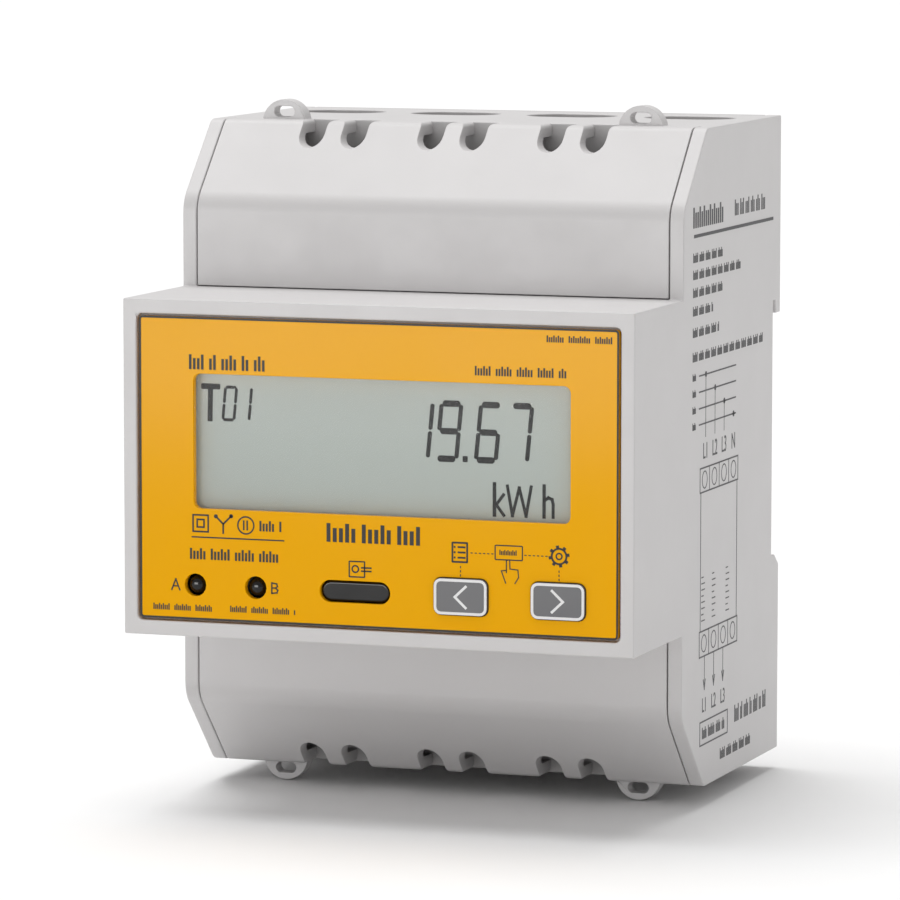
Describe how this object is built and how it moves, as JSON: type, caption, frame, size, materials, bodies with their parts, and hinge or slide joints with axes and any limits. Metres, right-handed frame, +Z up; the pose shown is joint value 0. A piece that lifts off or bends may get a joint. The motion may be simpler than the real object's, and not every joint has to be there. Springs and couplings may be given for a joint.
{
  "type": "smart electric meter",
  "caption": "Rail-mounted three-phase electric meter with a stepped grey case, amber fascia, display window, two keys, terminal covers with seal lugs and a sprung rail clip.",
  "frame": {"origin": "middle of the rail seat, on the rail's centre line and in the plane of its flanges", "axes": "+Z up along the case's long side, +Y out of the back towards the rail, +X to the right of a person facing the meter"},
  "size_m": [0.072, 0.0687, 0.0955],
  "materials": {
    "shell": "satin moulded polycarbonate, light grey",
    "base": "moulded polycarbonate, light grey",
    "fascia": "glossy printed film, amber yellow",
    "window": "clear polycarbonate window",
    "dark_lens": "dark tinted lens",
    "key": "satin dark grey with a pale outline",
    "lcd": "liquid-crystal glass, grey-green",
    "white_plastic": "white moulded plastic",
    "board": "green solder mask",
    "chip": "black moulded epoxy",
    "can": "blue sleeve",
    "battery": "grey shrink sleeve",
    "clip": "dark grey acetal",
    "spring": "drawn spring wire",
    "copper": "bare copper",
    "coil": "blue moulded coil case",
    "zinc": "zinc-plated steel",
    "aux_block": "green moulded polyamide"
  },
  "bodies": {
    "meter": {"housing": "shell", "rear_base": "base", "front_panel": "fascia", "display_window": "window", "optical_port_window": "dark_lens", "pulse_led_a": "dark_lens", "pulse_led_b": "dark_lens", "lcd_glass": "lcd", "lcd_frame": "white_plastic", "lcd_backlight": "white_plastic", "display_board": "board", "ir_transceiver": "chip", "key_switch_previous": "chip", "key_switch_next": "chip", "main_board": "board", "board_header": "chip", "meter_chip": "chip", "supply_transformer": "chip", "supply_capacitor": "can", "backup_battery": "battery", "clip_spring": "spring", "busbar_l1": "copper", "current_transformer_l1": "coil", "busbar_l2": "copper", "current_transformer_l2": "coil", "busbar_l3": "copper", "current_transformer_l3": "coil", "busbar_n": "copper", "aux_block_bus": "aux_block", "aux_block_pulse": "aux_block", "aux_block_tariff": "aux_block"},
    "top_cover": {"top_terminal_cover": "shell"},
    "bottom_cover": {"bottom_terminal_cover": "shell"},
    "previous_key": {"key_previous": "key"},
    "next_key": {"key_next": "key"},
    "rail_clip": {"din_clip": "clip"},
    "cage_top_l1": {"terminal_cage_top_l1": "zinc"},
    "screw_top_l1": {"terminal_screw_top_l1": "zinc"},
    "cage_top_l2": {"terminal_cage_top_l2": "zinc"},
    "screw_top_l2": {"terminal_screw_top_l2": "zinc"},
    "cage_top_l3": {"terminal_cage_top_l3": "zinc"},
    "screw_top_l3": {"terminal_screw_top_l3": "zinc"},
    "cage_top_n": {"terminal_cage_top_n": "zinc"},
    "screw_top_n": {"terminal_screw_top_n": "zinc"},
    "cage_bottom_l1": {"terminal_cage_bottom_l1": "zinc"},
    "screw_bottom_l1": {"terminal_screw_bottom_l1": "zinc"},
    "cage_bottom_l2": {"terminal_cage_bottom_l2": "zinc"},
    "screw_bottom_l2": {"terminal_screw_bottom_l2": "zinc"},
    "cage_bottom_l3": {"terminal_cage_bottom_l3": "zinc"},
    "screw_bottom_l3": {"terminal_screw_bottom_l3": "zinc"},
    "cage_bottom_n": {"terminal_cage_bottom_n": "zinc"},
    "screw_bottom_n": {"terminal_screw_bottom_n": "zinc"},
    "bus_screw_1": {"aux_screw_bus_1": "zinc"},
    "bus_screw_2": {"aux_screw_bus_2": "zinc"},
    "pulse_screw_1": {"aux_screw_pulse_1": "zinc"},
    "pulse_screw_2": {"aux_screw_pulse_2": "zinc"},
    "tariff_screw_1": {"aux_screw_tariff_1": "zinc"},
    "tariff_screw_2": {"aux_screw_tariff_2": "zinc"}
  },
  "joints": [
    {"name": "top_cover_slide", "type": "slide", "parent": "meter", "child": "top_cover", "axis": [0, -1, 0], "range_m": [0, 0.03]},
    {"name": "bottom_cover_slide", "type": "slide", "parent": "meter", "child": "bottom_cover", "axis": [0, -1, 0], "range_m": [0, 0.03]},
    {"name": "previous_key_press", "type": "slide", "parent": "meter", "child": "previous_key", "axis": [0, 1, 0], "range_m": [0, 0.0005], "stiffness_N_per_m": 4000},
    {"name": "next_key_press", "type": "slide", "parent": "meter", "child": "next_key", "axis": [0, 1, 0], "range_m": [0, 0.0005], "stiffness_N_per_m": 4000},
    {"name": "rail_clip_slide", "type": "slide", "parent": "meter", "child": "rail_clip", "axis": [0, 0, -1], "range_m": [0, 0.004], "stiffness_N_per_m": 1500, "springref_m": -0.004, "deforming": ["clip_spring"]},
    {"name": "screw_top_l1_turn", "type": "hinge", "parent": "meter", "child": "screw_top_l1", "pos_m": [-0.02595, -0.0258, 0.0333], "axis": [0, 1, 0], "range_deg": [0, 2160]},
    {"name": "cage_top_l1_lift", "type": "slide", "parent": "meter", "child": "cage_top_l1", "axis": [0, -1, 0], "range_m": [0, 0.006]},
    {"name": "screw_top_l2_turn", "type": "hinge", "parent": "meter", "child": "screw_top_l2", "pos_m": [-0.00865, -0.0258, 0.0333], "axis": [0, 1, 0], "range_deg": [0, 2160]},
    {"name": "cage_top_l2_lift", "type": "slide", "parent": "meter", "child": "cage_top_l2", "axis": [0, -1, 0], "range_m": [0, 0.006]},
    {"name": "screw_top_l3_turn", "type": "hinge", "parent": "meter", "child": "screw_top_l3", "pos_m": [0.00865, -0.0258, 0.0333], "axis": [0, 1, 0], "range_deg": [0, 2160]},
    {"name": "cage_top_l3_lift", "type": "slide", "parent": "meter", "child": "cage_top_l3", "axis": [0, -1, 0], "range_m": [0, 0.006]},
    {"name": "screw_top_n_turn", "type": "hinge", "parent": "meter", "child": "screw_top_n", "pos_m": [0.02595, -0.0258, 0.0333], "axis": [0, 1, 0], "range_deg": [0, 2160]},
    {"name": "cage_top_n_lift", "type": "slide", "parent": "meter", "child": "cage_top_n", "axis": [0, -1, 0], "range_m": [0, 0.006]},
    {"name": "screw_bottom_l1_turn", "type": "hinge", "parent": "meter", "child": "screw_bottom_l1", "pos_m": [-0.02595, -0.0258, -0.0357], "axis": [0, 1, 0], "range_deg": [0, 2160]},
    {"name": "cage_bottom_l1_lift", "type": "slide", "parent": "meter", "child": "cage_bottom_l1", "axis": [0, -1, 0], "range_m": [0, 0.006]},
    {"name": "screw_bottom_l2_turn", "type": "hinge", "parent": "meter", "child": "screw_bottom_l2", "pos_m": [-0.00865, -0.0258, -0.0357], "axis": [0, 1, 0], "range_deg": [0, 2160]},
    {"name": "cage_bottom_l2_lift", "type": "slide", "parent": "meter", "child": "cage_bottom_l2", "axis": [0, -1, 0], "range_m": [0, 0.006]},
    {"name": "screw_bottom_l3_turn", "type": "hinge", "parent": "meter", "child": "screw_bottom_l3", "pos_m": [0.00865, -0.0258, -0.0357], "axis": [0, 1, 0], "range_deg": [0, 2160]},
    {"name": "cage_bottom_l3_lift", "type": "slide", "parent": "meter", "child": "cage_bottom_l3", "axis": [0, -1, 0], "range_m": [0, 0.006]},
    {"name": "screw_bottom_n_turn", "type": "hinge", "parent": "meter", "child": "screw_bottom_n", "pos_m": [0.02595, -0.0258, -0.0357], "axis": [0, 1, 0], "range_deg": [0, 2160]},
    {"name": "cage_bottom_n_lift", "type": "slide", "parent": "meter", "child": "cage_bottom_n", "axis": [0, -1, 0], "range_m": [0, 0.006]},
    {"name": "bus_screw_1_turn", "type": "hinge", "parent": "meter", "child": "bus_screw_1", "pos_m": [-0.02035, -0.0369, -0.0279], "axis": [0, 1, 0], "range_deg": [0, 1080]},
    {"name": "bus_screw_2_turn", "type": "hinge", "parent": "meter", "child": "bus_screw_2", "pos_m": [-0.01425, -0.0369, -0.0279], "axis": [0, 1, 0], "range_deg": [0, 1080]},
    {"name": "pulse_screw_1_turn", "type": "hinge", "parent": "meter", "child": "pulse_screw_1", "pos_m": [-0.00305, -0.0369, -0.0279], "axis": [0, 1, 0], "range_deg": [0, 1080]},
    {"name": "pulse_screw_2_turn", "type": "hinge", "parent": "meter", "child": "pulse_screw_2", "pos_m": [0.00305, -0.0369, -0.0279], "axis": [0, 1, 0], "range_deg": [0, 1080]},
    {"name": "tariff_screw_1_turn", "type": "hinge", "parent": "meter", "child": "tariff_screw_1", "pos_m": [0.01425, -0.0369, -0.0279], "axis": [0, 1, 0], "range_deg": [0, 1080]},
    {"name": "tariff_screw_2_turn", "type": "hinge", "parent": "meter", "child": "tariff_screw_2", "pos_m": [0.02035, -0.0369, -0.0279], "axis": [0, 1, 0], "range_deg": [0, 1080]}
  ],
  "couplings": [
    {"joint": "screw_top_l1_turn", "follows": "cage_top_l1_lift", "rad_per_m": 6283.2},
    {"joint": "screw_top_l2_turn", "follows": "cage_top_l2_lift", "rad_per_m": 6283.2},
    {"joint": "screw_top_l3_turn", "follows": "cage_top_l3_lift", "rad_per_m": 6283.2},
    {"joint": "screw_top_n_turn", "follows": "cage_top_n_lift", "rad_per_m": 6283.2},
    {"joint": "screw_bottom_l1_turn", "follows": "cage_bottom_l1_lift", "rad_per_m": 6283.2},
    {"joint": "screw_bottom_l2_turn", "follows": "cage_bottom_l2_lift", "rad_per_m": 6283.2},
    {"joint": "screw_bottom_l3_turn", "follows": "cage_bottom_l3_lift", "rad_per_m": 6283.2},
    {"joint": "screw_bottom_n_turn", "follows": "cage_bottom_n_lift", "rad_per_m": 6283.2}
  ]
}
